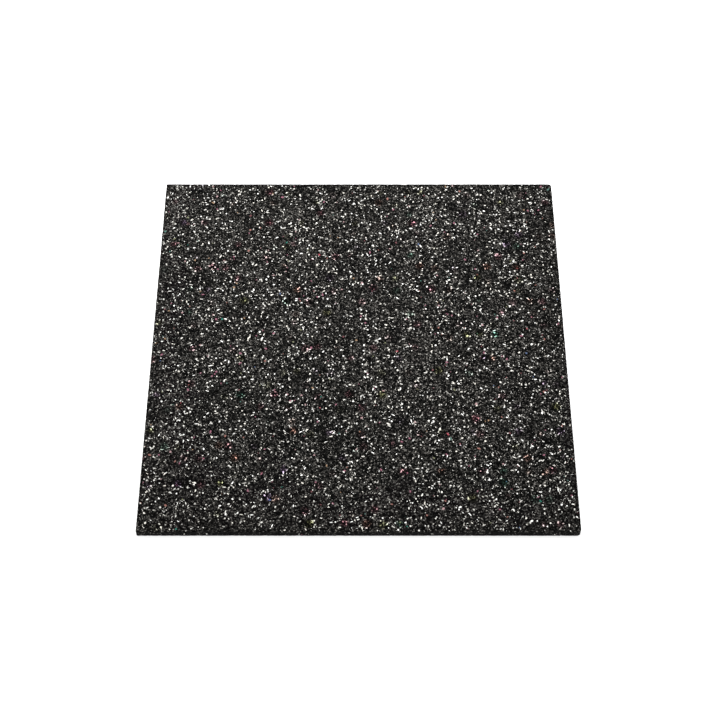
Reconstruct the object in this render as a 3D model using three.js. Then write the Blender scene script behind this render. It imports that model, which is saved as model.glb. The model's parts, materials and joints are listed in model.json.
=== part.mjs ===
// A gym floor tile of pressed rubber crumb: one solid slab, 500 mm square and 10 mm thick.
// Millimetres, +Z up. The origin is the middle of the underside, which lies on the floor at z = 0.
// -Y is the near edge and +X is the right-hand edge.
import * as THREE from "three";

// The slab
const tileWidth = 500; // along X
const tileDepth = 500; // along Y
const tileThickness = 10;

// The two right-hand corners come rounded from the mould. The left-hand edge is a cut one, with crisp corners.
const mouldedCornerRadius = 4;
const cutCornerRadius = 0.8;

// The edges of the top face and of the underside are eased by a small rounding. It turns the corners with
// the outline, so it stays well inside the smaller corner radius.
const easedEdge = 0.5;
const shareOfCorner = 0.8;
const edgeRounding = Math.min(easedEdge, shareOfCorner * Math.min(mouldedCornerRadius, cutCornerRadius));

// How many flats draw a corner and an eased edge
const cornerFlats = 8;
const edgeFlats = 3;

// The tile seen from above, anticlockwise from its near right corner. Each arc is a corner, and the outline
// draws a straight edge up to its start.
function tileOutline() {
  const right = tileWidth / 2;
  const back = tileDepth / 2;
  const moulded = mouldedCornerRadius;
  const cut = cutCornerRadius;
  const quarter = Math.PI / 2;
  const outline = new THREE.Shape();
  outline.absarc(right - moulded, moulded - back, moulded, -quarter, 0);
  outline.absarc(right - moulded, back - moulded, moulded, 0, quarter);
  outline.absarc(cut - right, back - cut, cut, quarter, 2 * quarter);
  outline.absarc(cut - right, cut - back, cut, 2 * quarter, 3 * quarter);
  outline.closePath();
  return outline;
}

// The slab is the outline raised to the thickness. Its rounded edges are taken from inside the full size.
// An extruded arc gets two flats for each curve segment.
function slabGeometry() {
  return new THREE.ExtrudeGeometry(tileOutline(), {
    depth: tileThickness - 2 * edgeRounding,
    curveSegments: cornerFlats / 2,
    bevelEnabled: true,
    bevelThickness: edgeRounding,
    bevelSize: edgeRounding,
    bevelOffset: -edgeRounding,
    bevelSegments: edgeFlats,
  });
}

const speckledCrumb = new THREE.MeshStandardMaterial({ color: 0x3c3b39, roughness: 0.9, metalness: 0 });

const slab = new THREE.Mesh(slabGeometry(), speckledCrumb);
slab.name = "rubber_tile";
slab.position.z = edgeRounding;

const tile = new THREE.Group();
tile.add(slab);

export default tile;
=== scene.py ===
# %% [markdown]
# # A speckled rubber gym floor tile
#
# The real tile is made of rubber crumb. Black crumbs from ground rubber, and a share of pale and coloured
# granules, are stirred with a resin and pressed into a slab 500 mm square and 10 mm thick. It has no other
# pieces: what the eye sees is thousands of grains, each 1 to 4 mm across, locked together at one level.
#
# This lesson builds that surface in the order in which it is seen. First come the camera and the light,
# then the slab with its crumb relief, and then the grains that are large enough to have a shape of their
# own. The frame holds the slab at its true size, and every measure is taken from it.

# %% Load the frame
import json
import math

import bpy
import numpy as np
from mathutils import Euler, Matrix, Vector

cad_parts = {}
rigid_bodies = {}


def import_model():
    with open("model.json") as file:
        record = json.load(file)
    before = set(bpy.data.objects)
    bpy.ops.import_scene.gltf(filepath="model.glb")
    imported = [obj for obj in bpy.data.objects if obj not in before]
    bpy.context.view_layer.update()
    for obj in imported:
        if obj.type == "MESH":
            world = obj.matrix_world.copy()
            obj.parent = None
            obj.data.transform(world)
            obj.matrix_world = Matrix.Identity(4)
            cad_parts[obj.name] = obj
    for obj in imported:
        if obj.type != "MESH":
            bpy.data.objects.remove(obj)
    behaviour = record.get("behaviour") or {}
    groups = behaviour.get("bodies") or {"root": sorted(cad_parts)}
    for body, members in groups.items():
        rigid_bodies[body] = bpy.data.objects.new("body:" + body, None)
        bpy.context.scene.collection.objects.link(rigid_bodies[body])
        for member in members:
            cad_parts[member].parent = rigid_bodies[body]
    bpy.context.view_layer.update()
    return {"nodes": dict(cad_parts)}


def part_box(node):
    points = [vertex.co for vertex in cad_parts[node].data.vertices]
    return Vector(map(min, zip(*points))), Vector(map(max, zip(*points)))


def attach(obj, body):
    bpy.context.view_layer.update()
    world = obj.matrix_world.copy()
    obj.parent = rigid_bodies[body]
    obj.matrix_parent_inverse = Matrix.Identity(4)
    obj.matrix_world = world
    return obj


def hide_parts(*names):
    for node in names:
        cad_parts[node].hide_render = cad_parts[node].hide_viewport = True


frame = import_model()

MM = 0.001
low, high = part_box("rubber_tile")
tile_size = high - low
half_size = tile_size / 2
print("tile, in mm:", [round(x / MM, 2) for x in tile_size])

# %% [markdown]
# ## The camera
#
# The tile is photographed by hand, from about a metre and a half up, standing in front of its near edge.
# The near edge looks wider than the far one because it is closer, and how much wider fixes the distance.
# The place, the turn and the lens below were found by matching the tile's four edges, which fall within a
# pixel and a half of the photographed ones.

# %% Set up the camera
camera_place = Vector((0.0029, -0.9869, 1.5248))
camera_turn = Euler([math.radians(a) for a in (32.512, 0.032, 0.024)])
camera_lens_mm = 74.7
sensor_mm = 36.0

camera_data = bpy.data.cameras.new("camera")
camera_data.lens = camera_lens_mm
camera_data.sensor_width = sensor_mm
camera = bpy.data.objects.new("camera", camera_data)
camera.location = camera_place
camera.rotation_euler = camera_turn
bpy.context.scene.collection.objects.link(camera)
bpy.context.scene.camera = camera
print("camera height, in m:", round(camera_place.z, 3))

# %% [markdown]
# ## The floor and the light
#
# A pale floor under large soft lamps shows a dark, matt thing best. The stronger lamp hangs over the far
# side, which is a little brighter in the photograph, and a weak one over the near side. Both hang high, so
# the thin slab throws hardly any shadow. Together with the light of the room they turn the floor white, and
# the rubber's own colours are kept deep to match. The plain Standard view keeps white white and black
# black, without the softened contrast of a film-like view.

# %% Make the floor and the lamps
FLOOR_WIDTH = 60.0
LAMP_CONE = math.radians(50)
ROOM_LIGHT = 0.85


def plain_shader(name, colour, roughness):
    """A material with one colour, for what isn't part of the tile."""
    made = bpy.data.materials.new(name)
    made.use_nodes = True
    shader = made.node_tree.nodes["Principled BSDF"]
    shader.inputs["Base Color"].default_value = (*colour, 1)
    shader.inputs["Roughness"].default_value = roughness
    return made


bpy.ops.mesh.primitive_plane_add(size=FLOOR_WIDTH)
floor = bpy.context.object
floor.name = "floor"
floor.data.materials.append(plain_shader("floor_paint", (0.9, 0.9, 0.9), 0.9))


def soft_lamp(name, kind, place, aim, width, watts):
    """A lamp with a wide face at a place, turned towards a point."""
    data = bpy.data.lights.new(name, kind)
    data.energy = watts
    lamp = bpy.data.objects.new(name, data)
    lamp.location = place
    lamp.rotation_euler = (Vector(aim) - Vector(place)).to_track_quat("-Z", "Y").to_euler()
    bpy.context.scene.collection.objects.link(lamp)
    if kind == "SPOT":
        data.shadow_soft_size = width / 2
        data.spot_size = LAMP_CONE
        data.spot_blend = 1.0
    else:
        data.size = width


soft_lamp("lamp_far_side", "SPOT", place=(-0.1, 0.9, 2.0), aim=(0, 0.45, 0), width=0.9, watts=345)
soft_lamp("lamp_near_side", "AREA", place=(-0.2, -0.7, 2.3), aim=(0, 0, 0), width=1.6, watts=36)

world = bpy.data.worlds.new("room_light")
world.use_nodes = True
world.node_tree.nodes["Background"].inputs["Color"].default_value = (1, 1, 1, 1)
world.node_tree.nodes["Background"].inputs["Strength"].default_value = ROOM_LIGHT
bpy.context.scene.world = world
bpy.context.scene.view_settings.view_transform = "Standard"

# %% [markdown]
# ## Small helpers for node trees
#
# A material and a Geometry Nodes tree are both built by adding nodes and wiring them. A few short helpers
# keep that readable. They find a socket by its name among those that are in use, add a node and fill its
# inputs, and do one step of arithmetic.

# %% Node helpers
def socket_in(node, name):
    """The input in use that has this name, or this number."""
    if isinstance(name, int):
        return node.inputs[name]
    return next(s for s in node.inputs if s.name == name and s.enabled)


def put(tree, kind, values=None, **settings):
    """Adds a node. A value is either a number to set or another node's output to wire in."""
    node = tree.nodes.new(kind)
    for key, value in settings.items():
        setattr(node, key, value)
    for name, value in (values or {}).items():
        socket = socket_in(node, name)
        if isinstance(value, bpy.types.NodeSocket):
            tree.links.new(value, socket)
        else:
            socket.default_value = value
    return node


def out(node, name=None):
    """The output in use that has this name, or the first in use."""
    return next(s for s in node.outputs if s.enabled and name in (None, s.name))


def maths(tree, operation, *values):
    """One step of arithmetic on numbers."""
    return out(put(tree, "ShaderNodeMath", dict(enumerate(values)), operation=operation))


def vectors(tree, operation, *values, scale=None):
    """One step of arithmetic on vectors."""
    node = put(tree, "ShaderNodeVectorMath", dict(enumerate(values)), operation=operation)
    if scale is not None:
        tree.links.new(scale, socket_in(node, "Scale"))
    return out(node)


# %% [markdown]
# A Geometry Nodes tree also needs named inputs, and an object to run on. Its result is taken as a plain
# mesh, and the modifier that ran it is removed again, so nothing is left that could change later.

# %% Geometry Nodes helpers
def geometry_tree(name, inputs):
    """A Geometry Nodes tree, its input node and its output node. The inputs are (name, type) pairs."""
    tree = bpy.data.node_groups.new(name, "GeometryNodeTree")
    tree.interface.new_socket("Geometry", in_out="INPUT", socket_type="NodeSocketGeometry")
    tree.interface.new_socket("Geometry", in_out="OUTPUT", socket_type="NodeSocketGeometry")
    for label, kind in inputs:
        tree.interface.new_socket(label, in_out="INPUT", socket_type=kind)
    return tree, tree.nodes.new("NodeGroupInput"), tree.nodes.new("NodeGroupOutput")


def run_tree(source, tree, values, name):
    """Runs a tree on an object and returns the result as a new plain mesh object."""
    modifier = source.modifiers.new("steps", "NODES")
    modifier.node_group = tree
    for item in tree.interface.items_tree:
        if item.in_out == "INPUT" and item.name in values:
            modifier[item.identifier] = values[item.name]
    bpy.context.view_layer.update()
    evaluated = source.evaluated_get(bpy.context.evaluated_depsgraph_get())
    made = bpy.data.objects.new(name, bpy.data.meshes.new_from_object(evaluated))
    made.data.name = name
    bpy.context.scene.collection.objects.link(made)
    source.modifiers.remove(modifier)
    return made


# %% [markdown]
# ## The slab's skin
#
# The slab could be a cube with a bump texture, but then its outline would be a ruler's edge, and a crumb
# tile's isn't. So its skin is a fine net of points: close together on the walking face and down the
# edges, and wider on the underside, which nobody sees once the tile is laid. The right-hand corners are
# rounded as they leave the mould, and the left-hand ones are crisp, because that edge is cut. Each corner
# of the net is fitted to its arc by sliding the points there towards the arc's middle.

# %% Lay out the net of points
FINE_CELLS = 270
COARSE_CELLS = 90
EASED = 0.3 * MM
MOULDED_CORNER = 4 * MM
CUT_CORNER = 0.8 * MM
SIDE_ROWS = 5
ON_RIM = 1 - 1e-6


def rounded(points, inset):
    """Fits points of the full square to the tile's outline, drawn in by the inset."""
    reach = np.array(half_size.xy) - inset
    at = points * reach
    radius = np.where(at[:, :1] > 0, MOULDED_CORNER, CUT_CORNER) - inset
    from_arc = np.abs(at) - (reach - radius)
    in_corner = (from_arc > 0).all(axis=1)
    length = np.linalg.norm(from_arc[in_corner], axis=1, keepdims=True)
    pulled = from_arc[in_corner] * from_arc[in_corner].max(axis=1, keepdims=True) / length
    at[in_corner] = np.sign(at[in_corner]) * ((reach - radius)[in_corner] + pulled)
    return at


def square_net(cells):
    """Points of a net over the square from -1 to 1, row by row."""
    step = np.linspace(-1, 1, cells + 1)
    across, along = np.meshgrid(step, step)
    return np.stack([across.ravel(), along.ravel()], axis=1)


def rim(cells):
    """The numbers of a net's outermost points, anticlockwise from its near left corner."""
    number = np.arange((cells + 1) ** 2).reshape(cells + 1, cells + 1)
    return np.concatenate([number[0, :-1], number[:-1, -1], number[-1, :0:-1], number[:0:-1, 0]])


def net_faces(cells, upward):
    """The quads of a net, facing up or down."""
    number = np.arange((cells + 1) ** 2).reshape(cells + 1, cells + 1)
    corners = [number[:-1, :-1], number[:-1, 1:], number[1:, 1:], number[1:, :-1]]
    if not upward:
        corners.reverse()
    return np.stack([c.ravel() for c in corners], axis=1)


print("round the net:", len(rim(FINE_CELLS)), "points above and", len(rim(COARSE_CELLS)), "below")

# %% [markdown]
# The inner points wander a little from their places, by chance but the same way each time, so that no
# ruled lines show in the light. Rows of points then go down the edges, and at the foot the fine rim meets
# the wide net of the underside in small fans of triangles.

# %% Make the skin as one closed mesh
WANDER = 0.34
CHANCE_SEED = 31

chance = np.random.default_rng(CHANCE_SEED)


def wandered(cells):
    """A net whose inner points have moved by chance."""
    net = square_net(cells)
    inner = (np.abs(net) < ON_RIM).all(axis=1)
    net[inner] += chance.uniform(-WANDER, WANDER, (inner.sum(), 2)) * 2 / cells
    return net


def tile_skin():
    """The slab's closed skin: top net, rows down the edges, and the underside's net."""
    top_net = wandered(FINE_CELLS)
    foot_net = wandered(COARSE_CELLS)
    top = np.column_stack([rounded(top_net, EASED), np.full(len(top_net), high.z)])
    foot = np.column_stack([rounded(foot_net, EASED), np.full(len(foot_net), low.z)])
    outer = rounded(square_net(FINE_CELLS)[rim(FINE_CELLS)], 0)
    levels = np.linspace(high.z - EASED, low.z + EASED, SIDE_ROWS + 1)
    rows = [np.column_stack([outer, np.full(len(outer), z)]) for z in levels]

    around = len(outer)
    first_row = len(top)
    first_foot = first_row + around * len(rows)
    rings = [rim(FINE_CELLS)] + [first_row + around * i + np.arange(around) for i in range(len(rows))]
    faces = net_faces(FINE_CELLS, True).tolist() + (net_faces(COARSE_CELLS, False) + first_foot).tolist()
    for above, below in zip(rings, rings[1:]):
        quads = np.stack([above, below, np.roll(below, -1), np.roll(above, -1)], axis=1)
        faces += quads.tolist()

    foot_rim = (rim(COARSE_CELLS) + first_foot).tolist()
    last = rings[-1].tolist()
    fan = FINE_CELLS // COARSE_CELLS
    for i, corner in enumerate(foot_rim):
        after = foot_rim[(i + 1) % len(foot_rim)]
        run = [last[(i * fan + k) % around] for k in range(fan + 1)]
        faces += [[run[k], corner, run[k + 1]] for k in range(fan - 1)]
        faces.append([run[fan - 1], corner, after, run[fan]])
    mesh = bpy.data.meshes.new("crumb_slab")
    mesh.from_pydata(np.concatenate([top, *rows, foot]).tolist(), [], faces)
    return mesh


skin = bpy.data.objects.new("slab_skin", tile_skin())
bpy.context.scene.collection.objects.link(skin)
print("skin:", len(skin.data.polygons), "faces")

# %% [markdown]
# The skin also gets a flat map, on which its colours can be kept as a picture when the tile is used
# elsewhere. An automatic unwrap would cut so rough a skin into thousands of scraps. Here the walking face
# takes most of the square, the underside a small corner of it, and the four edges lie as strips above.

# %% Unroll the skin on a map
TOP_SHARE = 0.73
UNDERSIDE_SHARE = 0.24
FIRST_STRIP = 0.76
STRIP_HEIGHT = 0.04
STRIP_STEP = 0.055
MAP_GAP = 0.005


def unroll(mesh):
    """Gives every corner of the skin's faces a place on the map."""
    corner_point = np.empty(len(mesh.loops), int)
    mesh.loops.foreach_get("vertex_index", corner_point)
    starts = np.array([p.loop_start for p in mesh.polygons])
    sizes = np.array([p.loop_total for p in mesh.polygons])
    face_of = np.repeat(np.arange(len(starts)), sizes)
    at = np.array([v.co for v in mesh.vertices])[corner_point]
    flat = (at[:, :2] - low[:2]) / tile_size[:2]
    places = flat * TOP_SHARE + MAP_GAP

    top_faces = FINE_CELLS ** 2
    foot_faces = COARSE_CELLS ** 2
    around = 4 * FINE_CELLS
    first_side = top_faces + foot_faces
    first_fan = first_side + around * (SIDE_ROWS + 1)
    below = ((face_of >= top_faces) & (face_of < first_side)) | (face_of >= first_fan)
    places[below] = flat[below] * UNDERSIDE_SHARE + [TOP_SHARE + 2 * MAP_GAP, MAP_GAP]

    sides = (face_of >= first_side) & (face_of < first_fan)
    quad = face_of[sides] - first_side
    corner = np.arange(len(corner_point))[sides] - starts[face_of[sides]]
    ring = quad // around + np.isin(corner, (1, 2))
    step = quad % around % FINE_CELLS + np.isin(corner, (2, 3))
    strip = quad % around // FINE_CELLS
    places[sides, 0] = step / FINE_CELLS * TOP_SHARE + MAP_GAP
    places[sides, 1] = FIRST_STRIP + strip * STRIP_STEP + ring / (SIDE_ROWS + 1) * STRIP_HEIGHT
    mesh.uv_layers.new(name="OFBake").data.foreach_set("uv", places.astype(np.float32).ravel())
    return places


places = unroll(skin.data)
print("map from", places.min(axis=0).round(3), "to", places.max(axis=0).round(3))

# %% [markdown]
# ## Pressing the crumb relief
#
# Under the press the crumbs end up almost level, but each lies a little higher or lower than the next,
# and the seams between them stay open as small pits. A Voronoi pattern has just that shape: cells for the
# crumbs, and the distance to a cell's edge for the seams. The tree pushes each point of the skin inwards
# along its normal, never outwards, so the tile keeps the size that the frame gives it.

# %% Build the relief tree
CRUMB = 3.4 * MM
UNEVEN = 0.16 * MM
PIT = 0.55 * MM
SEAM_WIDTH = 0.22
OWN_SHARE = 0.7
FEW_OPEN = 1.5
EDGE_RELIEF = 0.4
RELIEF_SEED = 5

relief, given, result = geometry_tree("crumb_relief", [
    ("Crumb", "NodeSocketFloat"), ("Uneven", "NodeSocketFloat"), ("Pit", "NodeSocketFloat"),
    ("Finish", "NodeSocketMaterial"),
])
cells_per_metre = maths(relief, "DIVIDE", 1.0, out(given, "Crumb"))
crumb_cell = put(relief, "ShaderNodeTexVoronoi", {"Scale": cells_per_metre})
seam = put(relief, "ShaderNodeTexVoronoi", {"Scale": cells_per_metre}, feature="DISTANCE_TO_EDGE")
luck = put(relief, "ShaderNodeSeparateXYZ", {"Vector": out(crumb_cell, "Color")})
in_seam = put(relief, "ShaderNodeMapRange", {
    "Value": out(seam, "Distance"), "From Min": 0.0, "From Max": SEAM_WIDTH, "To Min": 1.0, "To Max": 0.0,
}, interpolation_type="SMOOTHSTEP")
own = put(relief, "FunctionNodeRandomValue", {"Seed": RELIEF_SEED}, data_type="FLOAT")
own_uneven = maths(relief, "MULTIPLY", out(given, "Uneven"), OWN_SHARE)
level = maths(relief, "MULTIPLY", out(luck, "X"), out(given, "Uneven"))
level = maths(relief, "MULTIPLY_ADD", out(own), own_uneven, level)
open_seam = maths(relief, "MULTIPLY", out(in_seam), maths(relief, "POWER", out(luck, "Y"), FEW_OPEN))
level = maths(relief, "MULTIPLY_ADD", open_seam, out(given, "Pit"), level)

# The edges were pressed against the mould or cut, so their relief is shallower than the walking face's
normal = relief.nodes.new("GeometryNodeInputNormal")
facing = put(relief, "ShaderNodeSeparateXYZ", {"Vector": out(normal)})
flatness = maths(relief, "ABSOLUTE", out(facing, "Z"))
full_depth = maths(relief, "MULTIPLY_ADD", flatness, 1 - EDGE_RELIEF, EDGE_RELIEF)
level = maths(relief, "MULTIPLY", level, full_depth)
inward = vectors(relief, "SCALE", out(normal), scale=maths(relief, "MULTIPLY", level, -1.0))
pressed = put(relief, "GeometryNodeSetPosition", {"Geometry": out(given, "Geometry"), "Offset": inward})
flat = put(relief, "GeometryNodeSetShadeSmooth", {"Geometry": out(pressed), "Shade Smooth": False})
real = put(relief, "GeometryNodeRealizeInstances", {"Geometry": out(flat)})
finished = put(relief, "GeometryNodeSetMaterial", {
    "Geometry": out(real), "Material": out(given, "Finish"),
})
relief.links.new(out(finished), result.inputs["Geometry"])
print("relief tree:", len(relief.nodes), "nodes")

# %% [markdown]
# ## Black crumb
#
# Ground black rubber is never one black. Fresh faces are deep and a little glossy, torn ones are grey, and
# dust of the pale granules sticks everywhere. The material draws crumbs of about 1.5 mm as Voronoi cells,
# each with a shade, a gloss and a height of its own, and paints shadow into the seams and pits between
# them.
# It reads Object coordinates in three dimensions, so a crumb that is cut by an edge shows the same shade on
# both faces.
#
# First come the helpers that these materials share: a row of colours to pick from, a smooth step between
# two values, a blend, and the cells themselves.

# %% Make the helpers for materials
def shades(tree, value, stops, steps=False):
    """A colour chosen by a value from 0 to 1 along a row of (place, colour) stops."""
    ramp = put(tree, "ShaderNodeValToRGB", {"Fac": value})
    ramp.color_ramp.interpolation = "CONSTANT" if steps else "LINEAR"
    while len(ramp.color_ramp.elements) < len(stops):
        ramp.color_ramp.elements.new(1.0)
    for element, (place, colour) in zip(ramp.color_ramp.elements, stops):
        element.position = place
        element.color = (*colour, 1)
    return out(ramp, "Color")


def fitted(tree, value, low_in, high_in, low_out, high_out):
    """A value carried smoothly from one range to another."""
    return out(put(tree, "ShaderNodeMapRange", {
        "Value": value, "From Min": low_in, "From Max": high_in, "To Min": low_out, "To Max": high_out,
    }, interpolation_type="SMOOTHSTEP"))


def blended(tree, mode, share, first, second):
    """Two colours blended."""
    values = {"Factor": share, "A": first, "B": second}
    return out(put(tree, "ShaderNodeMix", values, data_type="RGBA", blend_type=mode))


def cells(tree, where, size, feature="F1"):
    """A Voronoi pattern whose cells have about the given size."""
    return put(tree, "ShaderNodeTexVoronoi", {"Vector": where, "Scale": 1 / size}, feature=feature)


def grey(level):
    """A neutral grey, a trace warm, as these rubbers are."""
    return (level * 1.05, level, level * 0.92)


def new_material(name):
    """An empty material with its shader and its tree."""
    made = bpy.data.materials.new(name)
    made.use_nodes = True
    return made, made.node_tree, made.node_tree.nodes["Principled BSDF"]


# %% [markdown]
# The dust of a coloured granule also stains its neighbours. That shows as soft spots, some 17 mm apart and
# most of them faint, in which black, grey and pale crumbs alike turn a little rose, olive, teal or violet.
# The same stain goes over every material here, so that a spot runs on across the crumbs.

# %% Make the stains
TINGE = 17 * MM
TINGE_FADES = (0.15, 0.45)
FAINTEST_TINGE = 0.45


def tinged(tree, where, colour):
    """A colour with the faint stain of a coloured granule's dust, in soft spots."""
    spots = cells(tree, where, TINGE)
    spot_luck = put(tree, "ShaderNodeSeparateXYZ", {"Vector": out(spots, "Color")})
    stain = shades(tree, out(spot_luck, "X"), [
        (0.0, (1.0, 0.45, 0.57)), (0.42, (1.0, 0.55, 0.45)), (0.6, (0.9, 0.95, 0.45)),
        (0.72, (0.45, 1.0, 0.8)), (0.82, (0.85, 0.62, 1.0)),
    ], True)
    near_spot = fitted(tree, out(spots, "Distance"), *TINGE_FADES, 1.0, 0.0)
    own_strength = fitted(tree, out(spot_luck, "Y"), FAINTEST_TINGE, 1.0, 0.0, 1.0)
    return blended(tree, "MULTIPLY", maths(tree, "MULTIPLY", near_spot, own_strength), colour, stain)


# %% [markdown]
# The crumb's own material works from the base up: the crumb's colour, then painted shade that darkens the
# tile's edges, as if they took less light, then specks of dust, and then painted shade in the seams and
# pits.
# A slow noise makes some patches a little paler than others, as in any mixture.

# %% Mix the crumb's shade
SEEN_CRUMB = 1.5 * MM
FINE_DUST = 0.9 * MM
CRUMB_PATCH = 55 * MM
PATCHINESS = 0.3
PAINTED_EDGE_SHADE = 0.1
EDGE_FACES = (0.25, 0.7)
DUSTY_CELLS = (0.95, 0.97)
DUST_COVER = 0.8
DUST_GREY = 0.2
SEAM_REACH = 0.16
PAINTED_SEAM_SHADE = 0.2
PIT_REACH = 0.14
PAINTED_PIT_SHADE = 0.35

black_crumb, tree, shader = new_material("crumb_rubber")
where = out(put(tree, "ShaderNodeTexCoord"), "Object")
crumbs = cells(tree, where, SEEN_CRUMB)
crumb_luck = put(tree, "ShaderNodeSeparateXYZ", {"Vector": out(crumbs, "Color")})
patch = put(tree, "ShaderNodeTexNoise", {"Vector": where, "Scale": 1 / CRUMB_PATCH, "Detail": 2.0})
evened = maths(tree, "SUBTRACT", out(crumb_luck, "X"), PATCHINESS / 2)
patchy_luck = maths(tree, "MULTIPLY_ADD", out(patch), PATCHINESS, evened)
crumb_shade = shades(tree, patchy_luck, [
    (0.0, grey(0.0001)), (0.37, grey(0.0007)), (0.56, grey(0.0038)), (0.72, grey(0.013)),
    (0.84, grey(0.027)), (0.93, grey(0.057)), (1.0, grey(0.14)),
])
surface = put(tree, "ShaderNodeSeparateXYZ", {"Vector": out(put(tree, "ShaderNodeTexCoord"), "Normal")})
# Painted shade: the sideways faces, which are the tile's edges, are darkened as if they took less light
painted_edge_shade = fitted(tree, maths(tree, "ABSOLUTE", out(surface, "Z")), *EDGE_FACES, PAINTED_EDGE_SHADE, 1.0)
crumb_shade = blended(tree, "MULTIPLY", 1.0, crumb_shade, painted_edge_shade)
dust = put(tree, "ShaderNodeSeparateXYZ", {"Vector": out(cells(tree, where, FINE_DUST), "Color")})
dust_share = fitted(tree, out(dust, "X"), *DUSTY_CELLS, 0.0, DUST_COVER)
crumb_shade = blended(tree, "MIX", dust_share, crumb_shade, (*grey(DUST_GREY), 1))
# Painted shade: the seams between crumbs and the pits of the relief are darkened, where shade would fall
edge = out(cells(tree, where, SEEN_CRUMB, "DISTANCE_TO_EDGE"), "Distance")
painted_seam_shade = fitted(tree, edge, 0.0, SEAM_REACH, PAINTED_SEAM_SHADE, 1.0)
relief_edge = out(cells(tree, where, CRUMB, "DISTANCE_TO_EDGE"), "Distance")
painted_pit_shade = fitted(tree, relief_edge, 0.0, PIT_REACH, PAINTED_PIT_SHADE, 1.0)
crumb_shade = blended(tree, "MULTIPLY", 1.0, crumb_shade, maths(tree, "MULTIPLY", painted_seam_shade, painted_pit_shade))
print("the crumb's shade:", len(tree.nodes), "nodes")

# %% [markdown]
# The underside is as speckled as the walking face, but nobody looks at it closely. So it gets few grains
# with a shape of their own, and most of its flecks are painted. Round the middle of each Voronoi cell lies
# a ball of colour, and the flat underside cuts these balls into round spots of all sizes.

# %% Paint the underside's flecks
PAINTED_FLECK = 2.4 * MM
PLAIN_SHARE = 0.4
FLECK_RIM = (0.34, 0.4)
FACING_DOWN = (-0.7, -0.5)

flecks = cells(tree, where, PAINTED_FLECK)
fleck_luck = put(tree, "ShaderNodeSeparateXYZ", {"Vector": out(flecks, "Color")})
fleck_shade = shades(tree, out(fleck_luck, "Y"), [
    (0.0, grey(0.03)), (0.5, grey(0.12)), (0.8, grey(0.45)), (1.0, grey(0.8)),
])
in_fleck = fitted(tree, out(flecks, "Distance"), *FLECK_RIM, 1.0, 0.0)
underside = fitted(tree, out(surface, "Z"), *FACING_DOWN, 1.0, 0.0)
painted = maths(tree, "GREATER_THAN", out(fleck_luck, "X"), PLAIN_SHARE)
painted = maths(tree, "MULTIPLY", painted, maths(tree, "MULTIPLY", in_fleck, underside))
crumb_shade = blended(tree, "MIX", painted, crumb_shade, fleck_shade)
print("with the underside's flecks:", len(tree.nodes), "nodes")

# %% [markdown]
# The stains go over everything. The bump stands in for what is too fine for the net of the skin: each
# crumb has its own height, sinks at its seams and is rough all over. Matt rubber reflects next to nothing,
# or its blacks would turn grey under so much light.

# %% Finish the crumb's material
FINE_GRAIN = 0.5 * MM
BUMP = 0.25 * MM
BUMP_STRENGTH = 0.6
GLOSSIEST_CRUMB = 0.45
MATTEST_CRUMB = 0.8
CRUMB_SHINE = 0.02
OWN_HEIGHT = 0.5
GRAIN_HEIGHT = 0.3

tree.links.new(tinged(tree, where, crumb_shade), shader.inputs["Base Color"])
roughness = fitted(tree, out(crumb_luck, "Y"), 0.0, 1.0, GLOSSIEST_CRUMB, MATTEST_CRUMB)
tree.links.new(roughness, shader.inputs["Roughness"])
shader.inputs["Specular IOR Level"].default_value = CRUMB_SHINE
# The curve of the painted seam shade also serves as the seams' sinking in the bump
height = maths(tree, "MULTIPLY_ADD", out(crumb_luck, "Z"), OWN_HEIGHT, painted_seam_shade)
grain = put(tree, "ShaderNodeTexNoise", {"Vector": where, "Scale": 1 / FINE_GRAIN, "Detail": 2.0})
height = maths(tree, "MULTIPLY_ADD", out(grain), GRAIN_HEIGHT, height)
bump = put(tree, "ShaderNodeBump", {"Height": height, "Distance": BUMP, "Strength": BUMP_STRENGTH})
tree.links.new(out(bump), shader.inputs["Normal"])
print("black crumb:", len(tree.nodes), "nodes")

# %% [markdown]
# Now the finish is ready, and the relief tree presses the skin and covers it with that finish in one run.
# The result is a plain mesh, and the skin without relief isn't needed any more.

# %% Press the relief into the skin
crumb_slab = run_tree(skin, relief, {
    "Crumb": CRUMB, "Uneven": UNEVEN, "Pit": PIT, "Finish": black_crumb,
}, "crumb_slab")
bpy.data.objects.remove(skin)
points = np.array([v.co for v in crumb_slab.data.vertices])
print("crumb slab, in mm:", (np.ptp(points, axis=0) / MM).round(2))
print("its finish:", [m.name for m in crumb_slab.data.materials])

# %% [markdown]
# ## Shapes for the grains
#
# The granules are cut from sheets of rubber and torn up, so they are small lumps with five to seven
# unequal sides and a flat face where the press met them. A dozen different lumps are enough, because each
# copy gets its own turn, stretch and size. A lump is a flat top, a bevel round it and a point below, which
# is buried in the slab. It has eleven to fifteen faces and no more, since there are thousands of them.

# %% Model a dozen lumps
LUMPS = 12
FEWEST_SIDES = 5
UNEQUAL_TURN = 0.3
UNEQUAL_REACH = (0.62, 1.0)
TOP_WIDTH = (0.72, 0.86)
SHOULDER_DEPTH = (0.14, 0.34)


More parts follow.
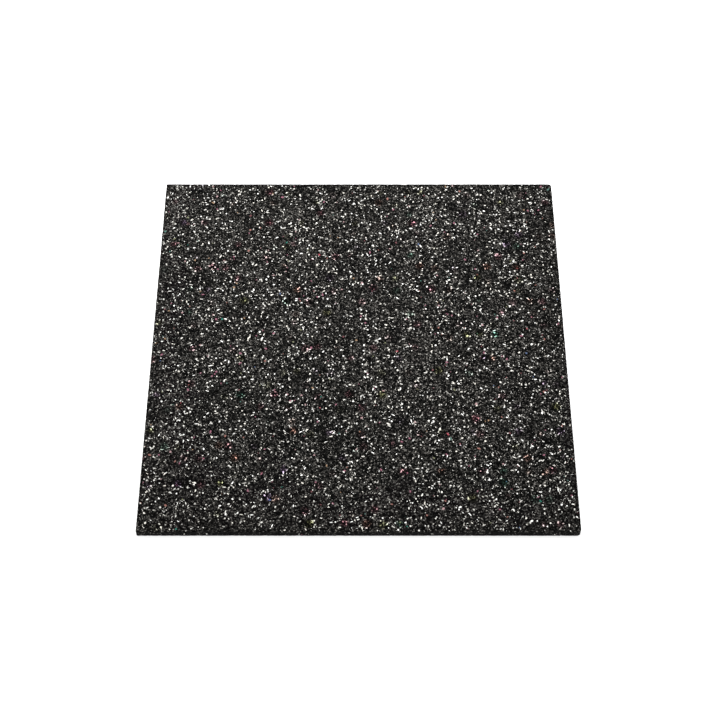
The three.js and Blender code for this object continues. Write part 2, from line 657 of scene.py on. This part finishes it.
def lump(sides, draw, name):
    """A grain of about unit radius: a flat top at height 0, a bevelled shoulder and a point at -1."""
    turns = (np.arange(sides) + draw.uniform(-UNEQUAL_TURN, UNEQUAL_TURN, sides)) * math.tau / sides
    reach = draw.uniform(*UNEQUAL_REACH, sides)
    around = np.column_stack([np.cos(turns), np.sin(turns)]) * reach[:, None]
    top = np.column_stack([around * draw.uniform(*TOP_WIDTH, (sides, 1)), np.zeros(sides)])
    shoulder = np.column_stack([around, -draw.uniform(*SHOULDER_DEPTH, sides)])
    ring = np.arange(sides)
    after = np.roll(ring, -1)
    faces = [ring.tolist()]
    faces += np.stack([ring, ring + sides, after + sides, after], axis=1).tolist()
    faces += np.stack([ring + sides, np.full(sides, 2 * sides), after + sides], axis=1).tolist()
    mesh = bpy.data.meshes.new(name)
    mesh.from_pydata(np.concatenate([top, shoulder, [[0, 0, -1]]]).tolist(), [], faces)
    under = mesh.attributes.new("underneath", "FLOAT", "FACE")
    under.data.foreach_set("value", [float(len(f) == 3) for f in faces])
    spot = mesh.attributes.new("spot", "FLOAT_VECTOR", "POINT")
    spot.data.foreach_set("vector", np.array([v.co for v in mesh.vertices]).ravel())
    return bpy.data.objects.new(name, mesh)


lumps = bpy.data.collections.new("lumps")
for i in range(LUMPS):
    lumps.objects.link(lump(FEWEST_SIDES + i % 3, chance, f"lump_{i:02d}"))

# %% [markdown]
# ## Scattering the grains
#
# The grains could be placed by hand or by a particle system, but Geometry Nodes gives the most control and
# the same result every time. One tree serves every kind of grain. It spreads points over the flat faces of
# the frame's own slab, many on the walking face and fewer on the edges and underneath, picks a lump for
# each, and turns, tilts and stretches it. Each point also moves in from the edges by its own reach, and in
# from the face by a small depth, so no grain leaves the tile.
#
# The tree is built in four short steps. The first spreads the points.

# %% Scatter tree: spread the points
FLAT = 0.999
UPRIGHT = 0.001

scatter, given, result = geometry_tree("grain_scatter", [
    ("Grains per square metre", "NodeSocketFloat"), ("Share on edges", "NodeSocketFloat"),
    ("Share underneath", "NodeSocketFloat"), ("Patch size", "NodeSocketFloat"),
    ("Missing in patches", "NodeSocketFloat"), ("Apart", "NodeSocketFloat"),
    ("Smallest", "NodeSocketFloat"), ("Largest", "NodeSocketFloat"), ("Few large", "NodeSocketFloat"),
    ("Stretch", "NodeSocketFloat"), ("Depth", "NodeSocketFloat"), ("Sunk", "NodeSocketFloat"),
    ("Sunk more", "NodeSocketFloat"), ("Tilt", "NodeSocketFloat"), ("Lumps", "NodeSocketCollection"),
    ("Finish", "NodeSocketMaterial"), ("Seed", "NodeSocketInt"),
])


def drawn(seed, low_value=0.0, high_value=1.0):
    """A random number for each grain. Each draw has a number of its own, added to the tree's seed."""
    own_seed = maths(scatter, "ADD", out(given, "Seed"), float(seed))
    return out(put(scatter, "FunctionNodeRandomValue", {
        "Min": low_value, "Max": high_value, "Seed": own_seed,
    }, data_type="FLOAT"))


normal = out(scatter.nodes.new("GeometryNodeInputNormal"))
facing = out(put(scatter, "ShaderNodeSeparateXYZ", {"Vector": normal}), "Z")
facing_up = maths(scatter, "GREATER_THAN", facing, FLAT)
facing_down = maths(scatter, "LESS_THAN", facing, -FLAT)
upright = maths(scatter, "LESS_THAN", maths(scatter, "ABSOLUTE", facing), UPRIGHT)
share = maths(scatter, "MULTIPLY_ADD", upright, out(given, "Share on edges"), facing_up)
share = maths(scatter, "MULTIPLY_ADD", facing_down, out(given, "Share underneath"), share)
spread = put(scatter, "GeometryNodeDistributePointsOnFaces", {
    "Mesh": out(given, "Geometry"), "Distance Min": out(given, "Apart"), "Seed": out(given, "Seed"),
    "Density Max": out(given, "Grains per square metre"), "Density Factor": share,
}, distribute_method="POISSON")

# No mixture is quite even, so a slow noise takes away more of the points in some places than in others
place = out(scatter.nodes.new("GeometryNodeInputPosition"))
patch = put(scatter, "ShaderNodeTexNoise", {
    "Vector": place, "W": out(given, "Seed"), "Detail": 2.0,
    "Scale": maths(scatter, "DIVIDE", 1.0, out(given, "Patch size")),
}, noise_dimensions="4D")
missing = maths(scatter, "MULTIPLY", out(patch), out(given, "Missing in patches"))
thinned = put(scatter, "GeometryNodeDeleteGeometry", {
    "Geometry": out(spread, "Points"), "Selection": maths(scatter, "LESS_THAN", drawn(108), missing),
}, domain="POINT")
print("to spread the points:", len(scatter.nodes), "nodes")

# %% [markdown]
# The second step gives each grain its size and its place. Most grains are small and round, and a few are
# large or long, so the draws are raised to a power. The grain then moves in from the slab's box by its
# reach in the plane of its face, and by its sunk depth across it.

# %% Scatter tree: size and place
LONG_ARE_FEW = 1.6
OWN_REACH = 0.9

size_draw = maths(scatter, "POWER", drawn(101), out(given, "Few large"))
span = maths(scatter, "SUBTRACT", out(given, "Largest"), out(given, "Smallest"))
radius = maths(scatter, "MULTIPLY_ADD", size_draw, span, out(given, "Smallest"))
more = maths(scatter, "SUBTRACT", out(given, "Stretch"), 1.0)
stretch = maths(scatter, "MULTIPLY_ADD", maths(scatter, "POWER", drawn(102), LONG_ARE_FEW), more, 1.0)
width = maths(scatter, "DIVIDE", radius, maths(scatter, "SQRT", stretch))
reach = maths(scatter, "MULTIPLY", width, stretch)

sunk = maths(scatter, "MULTIPLY_ADD", drawn(103), out(given, "Sunk more"), out(given, "Sunk"))
across = vectors(scatter, "ABSOLUTE", out(spread, "Normal"))
along = vectors(scatter, "SUBTRACT", (1.0, 1.0, 1.0), across)
kept_inside = maths(scatter, "MULTIPLY", reach, OWN_REACH)
moved_in = vectors(scatter, "ADD", vectors(scatter, "SCALE", across, scale=sunk),
                   vectors(scatter, "SCALE", along, scale=kept_inside))
box = put(scatter, "GeometryNodeBoundBox", {"Geometry": out(given, "Geometry")})
corners = vectors(scatter, "ADD", out(box, "Min"), out(box, "Max"))
box_middle = vectors(scatter, "MULTIPLY", corners, (0.5, 0.5, 0.5))
box_half = vectors(scatter, "SUBTRACT", out(box, "Max"), box_middle)
left_over = vectors(scatter, "DIVIDE", vectors(scatter, "SUBTRACT", box_half, moved_in), box_half)
from_middle = vectors(scatter, "SUBTRACT", place, box_middle)
new_place = vectors(scatter, "MULTIPLY_ADD", from_middle, left_over, box_middle)
moved = put(scatter, "GeometryNodeSetPosition", {"Geometry": out(thinned), "Position": new_place})
print("with size and place:", len(scatter.nodes), "nodes")

# %% [markdown]
# The third step turns each grain and puts a lump there. A tilt lifts one end of a grain, so it is held to
# a share of what its sunk depth allows, and the longest grains tilt the least.

# %% Scatter tree: turn the grains and place the lumps
tilt = maths(scatter, "MULTIPLY", maths(scatter, "DIVIDE", sunk, reach), out(given, "Tilt"))
back_tilt = maths(scatter, "MULTIPLY", tilt, -1.0)
spin = put(scatter, "ShaderNodeCombineXYZ", {"Z": drawn(106, 0.0, math.tau)})
lean = put(scatter, "ShaderNodeCombineXYZ", {
    "X": drawn(104, back_tilt, tilt), "Y": drawn(105, back_tilt, tilt),
})
turned = spread
for angles in (lean, spin):
    by = put(scatter, "FunctionNodeEulerToRotation", {"Euler": out(angles)})
    turned = put(scatter, "FunctionNodeRotateRotation", {
        "Rotation": out(turned, "Rotation"), "Rotate By": out(by),
    }, rotation_space="LOCAL")
scaled = put(scatter, "ShaderNodeCombineXYZ", {"X": reach, "Y": width, "Z": out(given, "Depth")})
choice = put(scatter, "FunctionNodeRandomValue", {
    "Min": 0, "Max": LUMPS - 1, "Seed": out(given, "Seed"),
}, data_type="INT")
shapes = put(scatter, "GeometryNodeCollectionInfo", {
    "Collection": out(given, "Lumps"), "Separate Children": True, "Reset Children": True,
})
placed = put(scatter, "GeometryNodeInstanceOnPoints", {
    "Points": out(moved), "Instance": out(shapes), "Pick Instance": True, "Instance Index": out(choice),
    "Rotation": out(turned), "Scale": out(scaled),
})
print("with turned lumps:", len(scatter.nodes), "nodes")

# %% [markdown]
# The last step makes the copies real and gives them what their finish needs: a tint, which picks a
# colour, and a place on a flat map. On the map each grain has a square of its own, the left half for what
# shows and the right half for what is buried. The finish comes last.

# %% Scatter tree: tints, map and finish
VISIBLE_AT = 0.26
BURIED_AFTER = 0.48
HALF_WIDTH = 0.2
HALF_HEIGHT = 0.4
CELL_MIDDLE = 0.5

tinted = put(scatter, "GeometryNodeStoreNamedAttribute", {
    "Geometry": out(placed), "Name": "tint", "Value": drawn(107),
}, data_type="FLOAT", domain="INSTANCE")
numbered = put(scatter, "GeometryNodeStoreNamedAttribute", {
    "Geometry": out(tinted), "Name": "number", "Value": out(scatter.nodes.new("GeometryNodeInputIndex")),
}, data_type="INT", domain="INSTANCE")
real = put(scatter, "GeometryNodeRealizeInstances", {"Geometry": out(numbered)})


def remembered(name, kind="FLOAT"):
    """A stored value, read back."""
    return out(put(scatter, "GeometryNodeInputNamedAttribute", {"Name": name}, data_type=kind))


counted = put(scatter, "GeometryNodeAttributeDomainSize", {"Geometry": out(placed)}, component="INSTANCES")
squares = maths(scatter, "CEIL", maths(scatter, "SQRT", out(counted, "Instance Count")))
column = maths(scatter, "FLOORED_MODULO", remembered("number", "INT"), squares)
row = maths(scatter, "FLOOR", maths(scatter, "DIVIDE", remembered("number", "INT"), squares))
spot = put(scatter, "ShaderNodeSeparateXYZ", {"Vector": remembered("spot", "FLOAT_VECTOR")})
half = maths(scatter, "MULTIPLY_ADD", remembered("underneath"), BURIED_AFTER, VISIBLE_AT)
across_cell = maths(scatter, "MULTIPLY_ADD", out(spot, "X"), HALF_WIDTH, half)
along_cell = maths(scatter, "MULTIPLY_ADD", out(spot, "Y"), HALF_HEIGHT, CELL_MIDDLE)
map_x = maths(scatter, "DIVIDE", maths(scatter, "ADD", column, across_cell), squares)
map_y = maths(scatter, "DIVIDE", maths(scatter, "ADD", row, along_cell), squares)
mapped = put(scatter, "GeometryNodeStoreNamedAttribute", {
    "Geometry": out(real), "Name": "OFBake",
    "Value": out(put(scatter, "ShaderNodeCombineXYZ", {"X": map_x, "Y": map_y})),
}, data_type="FLOAT2", domain="CORNER")
finished = put(scatter, "GeometryNodeSetMaterial", {
    "Geometry": out(mapped), "Material": out(given, "Finish"),
})
scatter.links.new(out(finished), result.inputs["Geometry"])
print("the whole scatter tree:", len(scatter.nodes), "nodes")

# %% [markdown]
# ## Granule colours
#
# Every kind of grain gets the same sort of material: a row of colours that the grain's own tint picks from,
# a fine mottling, and a bump as fine as torn rubber. Only the rows and the gloss differ. The pale granules
# run from light grey over a warm grey to white, the grey ones are soiled with black, and the coloured ones
# are mostly rose and red, with a few orange, olive, teal and blue ones.

# %% Make the granule materials
MOTTLE = 1.1 * MM
TORN = 0.35 * MM
TORN_DEPTH = 0.12 * MM
TORN_STRENGTH = 0.5
SOIL_FADES = (0.3, 0.62)
SOILED = 0.62
DULL_FADES = (0.3, 0.7)
DULLER = 0.15
GRANULE_SHINE = 0.03


def granule_material(name, stops, smoothest=0.6, steps=False):
    """A rubber granule's finish, with its colour picked by the grain's tint."""
    made, tree, shader = new_material(name)
    where = out(put(tree, "ShaderNodeTexCoord"), "Object")
    tint = out(put(tree, "ShaderNodeAttribute", attribute_name="tint"), "Fac")
    colour = shades(tree, tint, stops, steps)
    mottle = put(tree, "ShaderNodeTexNoise", {"Vector": where, "Scale": 1 / MOTTLE, "Detail": 3.0})
    soil = fitted(tree, out(mottle), *SOIL_FADES, SOILED, 1.0)
    colour = blended(tree, "MULTIPLY", 1.0, colour, soil)
    tree.links.new(tinged(tree, where, colour), shader.inputs["Base Color"])
    roughness = fitted(tree, out(mottle), *DULL_FADES, smoothest + DULLER, smoothest)
    tree.links.new(roughness, shader.inputs["Roughness"])
    shader.inputs["Specular IOR Level"].default_value = GRANULE_SHINE
    grain = put(tree, "ShaderNodeTexNoise", {"Vector": where, "Scale": 1 / TORN, "Detail": 2.0})
    values = {"Height": out(grain), "Distance": TORN_DEPTH, "Strength": TORN_STRENGTH}
    tree.links.new(out(put(tree, "ShaderNodeBump", values)), shader.inputs["Normal"])
    return made


pale_finish = granule_material("pale_granule", [
    (0.0, (0.275, 0.27, 0.248)), (0.25, (0.435, 0.426, 0.393)), (0.5, (0.62, 0.611, 0.573)),
    (0.7, (0.662, 0.633, 0.562)), (0.82, (0.79, 0.79, 0.761)), (1.0, (0.85, 0.85, 0.821)),
])
grey_finish = granule_material("grey_granule", [
    (0.0, (0.021, 0.02, 0.019)), (0.35, (0.038, 0.037, 0.034)), (0.65, (0.072, 0.068, 0.06)),
    (0.85, (0.13, 0.13, 0.12)), (1.0, (0.22, 0.206, 0.182)),
])
coloured_finish = granule_material("coloured_granule", [
    (0.0, (0.2, 0.085, 0.115)), (0.3, (0.29, 0.19, 0.195)), (0.42, (0.2, 0.095, 0.08)),
    (0.6, (0.1, 0.042, 0.046)), (0.72, (0.22, 0.145, 0.09)), (0.8, (0.135, 0.14, 0.085)),
    (0.88, (0.26, 0.055, 0.07)), (0.92, (0.06, 0.12, 0.103)), (0.95, (0.065, 0.095, 0.17)),
    (0.98, (0.02, 0.12, 0.092)),
], steps=True)
black_finish = granule_material("black_grain", [
    (0.0, grey(0.0008)), (0.5, grey(0.003)), (0.8, grey(0.011)), (1.0, grey(0.03)),
], smoothest=0.45)
print("granule materials:", [m.name for m in bpy.data.materials if "gran" in m.name or "grain" in m.name])

# %% [markdown]
# ## Four kinds of grain
#
# All the grains lie about a tenth or a fifth of a millimetre below the face, at depths drawn by chance, so
# in places one laps over another, as they do where everything is pressed together. Black and pale grains
# are about equally many, some eight thousand each, and the smaller grey ones are five thousand. About one
# granule in thirty is coloured. Fewer grains lie on the edges, so that the edges stay dark, as painted
# shade for faces that take less light than the walking face.

# %% Scatter the grains
source = bpy.data.objects.new("scatter_source", frame["nodes"]["rubber_tile"].data.copy())
bpy.context.scene.collection.objects.link(source)

SAME_FOR_ALL = {
    "Share underneath": 0.12, "Patch size": 70 * MM, "Missing in patches": 0.5, "Apart": 1.1 * MM,
    "Depth": 1.1 * MM, "Tilt": 0.7, "Lumps": lumps,
}


def grains(name, finish, seed, per_square_metre, radii_mm, few_large, stretch, sunk_mm, edges):
    """One kind of grain over the whole tile, as one mesh."""
    values = {
        **SAME_FOR_ALL, "Grains per square metre": float(per_square_metre), "Share on edges": edges,
        "Smallest": radii_mm[0] * MM, "Largest": radii_mm[1] * MM, "Few large": few_large,
        "Stretch": stretch, "Sunk": sunk_mm[0] * MM, "Sunk more": sunk_mm[1] * MM,
        "Finish": finish, "Seed": seed,
    }
    made = run_tree(source, scatter, values, name)
    for attribute in ("number", "spot", "underneath"):
        made.data.attributes.remove(made.data.attributes[attribute])
    made.data.materials.clear()
    made.data.materials.append(finish)
    made.data.polygons.foreach_set("material_index", [0] * len(made.data.polygons))
    # Only the top of a lump has five corners or more, so the tops count the grains
    corner_counts = [len(f.vertices) for f in made.data.polygons]
    tops = sum(count >= FEWEST_SIDES for count in corner_counts)
    print(name, "grains:", tops, "triangles:", sum(count - 2 for count in corner_counts))
    return made


# The small shares on the edges keep the edges dark, as painted shade
black_grains = grains(
    "black_grains", black_finish, seed=11, per_square_metre=42000, radii_mm=(0.6, 2.0), few_large=1.5,
    stretch=2.4, sunk_mm=(0.08, 0.12), edges=0.6)
pale_granules = grains(
    "pale_granules", pale_finish, seed=23, per_square_metre=42000, radii_mm=(0.42, 1.8), few_large=1.4,
    stretch=3.8, sunk_mm=(0.05, 0.12), edges=0.2)
grey_granules = grains(
    "grey_granules", grey_finish, seed=37, per_square_metre=26000, radii_mm=(0.45, 1.35), few_large=1.6,
    stretch=3.0, sunk_mm=(0.08, 0.14), edges=0.3)
coloured_granules = grains(
    "coloured_granules", coloured_finish, seed=41, per_square_metre=2100, radii_mm=(1.0, 2.3),
    few_large=1.5, stretch=2.2, sunk_mm=(0.06, 0.1), edges=0.2)
bpy.data.objects.remove(source)
for shape in list(lumps.objects):
    bpy.data.objects.remove(shape)

# %% [markdown]
# ## Hand over to the frame
#
# The crumb slab stands for the frame's plain slab, and all the grains ride with it as one body, because
# they are one pressed piece.

# %% Bind the pieces
for piece, slot in [
    (crumb_slab, "black_crumb"), (black_grains, "black_crumb"), (pale_granules, "pale_granules"),
    (grey_granules, "pale_granules"), (coloured_granules, "coloured_granules"),
]:
    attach(piece, "root")
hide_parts("rubber_tile")
